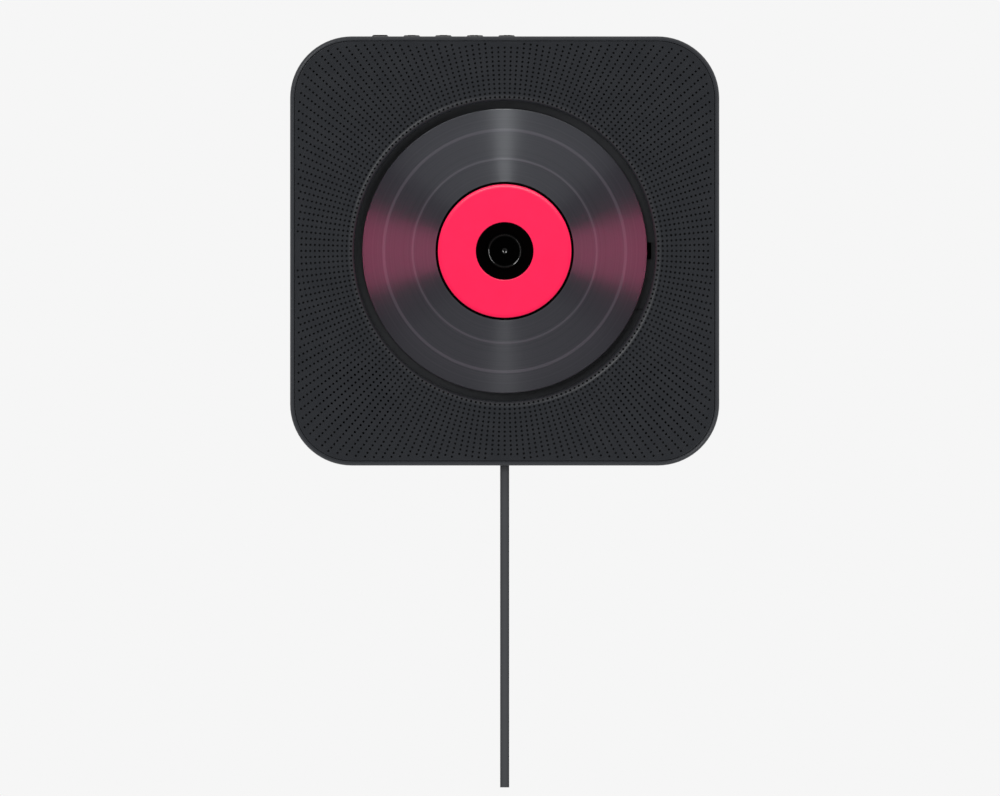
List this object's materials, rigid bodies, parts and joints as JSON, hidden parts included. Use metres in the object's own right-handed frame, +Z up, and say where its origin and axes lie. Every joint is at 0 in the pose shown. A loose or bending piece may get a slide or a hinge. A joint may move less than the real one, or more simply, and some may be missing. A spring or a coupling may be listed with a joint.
{
  "type": "wall mounted cd player",
  "caption": "Square wall player with an open round disc well, perforated front, top keys, pull cord and a hanging bracket.",
  "frame": {"origin": "on the wall, on the axis of the disc, at the back face of the wall bracket", "axes": "+Z up, +Y into the wall, so the front faces -Y; +X to the right as seen from the front"},
  "size_m": [0.181, 0.0415, 0.3178],
  "materials": {
    "casing": "fine satin, dark grey",
    "well_plastic": "satin, dark grey",
    "black_cloth": "fine weave",
    "black_rubber": "matt",
    "disc_black": "fine concentric grooves",
    "label_pink": "printed layer",
    "black_plastic": "satin",
    "white_plastic": "moulded acetal",
    "bracket_steel": "zinc plated",
    "plain_steel": "bright",
    "painted_steel": "black",
    "motor_steel": "plated can",
    "cast_metal": "die cast",
    "brass": "turned",
    "magnet_grey": "ferrite",
    "speaker_paper": "paper cone and rubber roll",
    "board_green": "solder mask",
    "lens_glass": "coated lens",
    "cord_grey": "satin jacket"
  },
  "bodies": {
    "bracket": {"wall_bracket": "bracket_steel", "bracket_studs": "plain_steel"},
    "player": {"housing_shell": "casing", "grille_panel": "casing", "grille_cloth": "black_cloth", "disc_well": "well_plastic", "mechanism_cover": "well_plastic", "rear_cover": "casing", "rear_screws": "plain_steel", "well_screws": "plain_steel", "wall_pads": "black_rubber", "spindle_motor": "motor_steel", "deck_chassis": "black_plastic", "chassis_dampers": "black_rubber", "deck_screws": "plain_steel", "guide_rods": "plain_steel", "sled_gear_pin": "plain_steel", "sled_motor": "motor_steel", "speaker_frames": "painted_steel", "speaker_cones": "speaker_paper", "speaker_magnets": "magnet_grey", "speaker_screws": "plain_steel", "main_board": "board_green", "board_parts": "black_plastic", "board_screws": "plain_steel", "dc_jack": "black_plastic", "audio_jack": "black_plastic", "key_board": "board_green", "key_switches": "black_plastic", "key_board_screws": "plain_steel", "cord_bushing": "black_plastic", "pull_switch": "black_plastic", "pull_spring": "plain_steel"},
    "turntable": {"turntable": "black_plastic", "platter_pad": "black_rubber", "clamp_claws": "black_plastic", "spindle_shaft": "plain_steel"},
    "disc": {"disc": "disc_black", "disc_label": "label_pink"},
    "pickup": {"pickup_body": "cast_metal", "sled_rack": "white_plastic", "lens_magnets": "magnet_grey"},
    "lens": {"lens_holder": "black_plastic", "objective_lens": "lens_glass"},
    "sled_gear": {"sled_gear": "white_plastic"},
    "sled_pinion": {"sled_pinion": "brass", "sled_motor_shaft": "plain_steel"},
    "pull_cord": {"pull_slider": "white_plastic", "pull_cord": "cord_grey"},
    "power_key": {"power_button": "casing"},
    "volume_down_key": {"volume_down_button": "casing"},
    "volume_up_key": {"volume_up_button": "casing"},
    "back_key": {"back_button": "casing"},
    "forward_key": {"forward_button": "casing"}
  },
  "joints": [
    {"name": "hang_slide", "type": "slide", "parent": "bracket", "child": "player", "axis": [0, 0, 1], "range_m": [0, 0.008]},
    {"name": "turntable_spin", "type": "hinge", "parent": "player", "child": "turntable", "pos_m": [0, 0, 0], "axis": [0, 1, 0], "continuous": true},
    {"name": "disc_lift", "type": "slide", "parent": "turntable", "child": "disc", "axis": [0, -1, 0], "range_m": [0, 0.015]},
    {"name": "pickup_travel", "type": "slide", "parent": "player", "child": "pickup", "axis": [1, 0, 0], "range_m": [0, 0.0345]},
    {"name": "lens_focus", "type": "slide", "parent": "pickup", "child": "lens", "axis": [0, -1, 0], "range_m": [-0.0005, 0.0005], "stiffness_N_per_m": 40},
    {"name": "sled_gear_spin", "type": "hinge", "parent": "player", "child": "sled_gear", "pos_m": [0.041, 0, -0.0279], "axis": [0, 1, 0], "range_deg": [-0.5, 719.3]},
    {"name": "sled_pinion_spin", "type": "hinge", "parent": "player", "child": "sled_pinion", "pos_m": [0.03379, 0, -0.03511], "axis": [0, 1, 0], "range_deg": [-2615.8, 2]},
    {"name": "cord_pull", "type": "slide", "parent": "player", "child": "pull_cord", "axis": [0, 0, -1], "range_m": [0, 0.006], "stiffness_N_per_m": 150, "springref_m": -0.004, "deforming": ["pull_spring"]},
    {"name": "power_key_press", "type": "slide", "parent": "player", "child": "power_key", "axis": [0, 0, -1], "range_m": [0, 0.0005], "stiffness_N_per_m": 1200, "springref_m": -0.0005},
    {"name": "volume_down_key_press", "type": "slide", "parent": "player", "child": "volume_down_key", "axis": [0, 0, -1], "range_m": [0, 0.0005], "stiffness_N_per_m": 1200, "springref_m": -0.0005},
    {"name": "volume_up_key_press", "type": "slide", "parent": "player", "child": "volume_up_key", "axis": [0, 0, -1], "range_m": [0, 0.0005], "stiffness_N_per_m": 1200, "springref_m": -0.0005},
    {"name": "back_key_press", "type": "slide", "parent": "player", "child": "back_key", "axis": [0, 0, -1], "range_m": [0, 0.0005], "stiffness_N_per_m": 1200, "springref_m": -0.0005},
    {"name": "forward_key_press", "type": "slide", "parent": "player", "child": "forward_key", "axis": [0, 0, -1], "range_m": [0, 0.0005], "stiffness_N_per_m": 1200, "springref_m": -0.0005}
  ],
  "couplings": [
    {"joint": "sled_gear_spin", "follows": "pickup_travel", "rad_per_m": 363.64},
    {"joint": "sled_pinion_spin", "follows": "pickup_travel", "rad_per_m": -1322.3}
  ]
}
